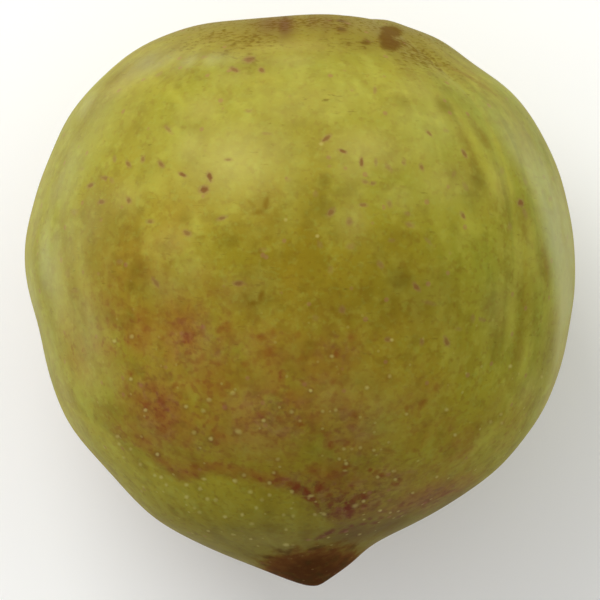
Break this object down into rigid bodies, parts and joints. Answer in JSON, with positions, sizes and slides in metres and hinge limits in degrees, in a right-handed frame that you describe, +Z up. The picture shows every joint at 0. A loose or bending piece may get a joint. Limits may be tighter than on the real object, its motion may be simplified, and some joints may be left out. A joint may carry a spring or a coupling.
{
  "type": "plumcot",
  "caption": "Whole plumcot lying on its cheek: heart-shaped body with a stem cavity, a shallow suture, a pointed blossom end and a small flat rest spot.",
  "frame": {"origin": "centre of the small flat spot that the fruit lies on, straight below its centre of mass", "axes": "+Z up from the rest spot; +Y along the core towards the stem cavity, so -Y is towards the pointed tip; +X towards the slimmer side, which has the suture on its upper half"},
  "size_m": [0.0578, 0.0598, 0.0548],
  "materials": {
    "plumcot_skin": "smooth waxy fruit skin, yellow-green with a red-brown blush and a dark tip"
  },
  "bodies": {
    "root": {"plumcot": "plumcot_skin"}
  },
  "joints": []
}
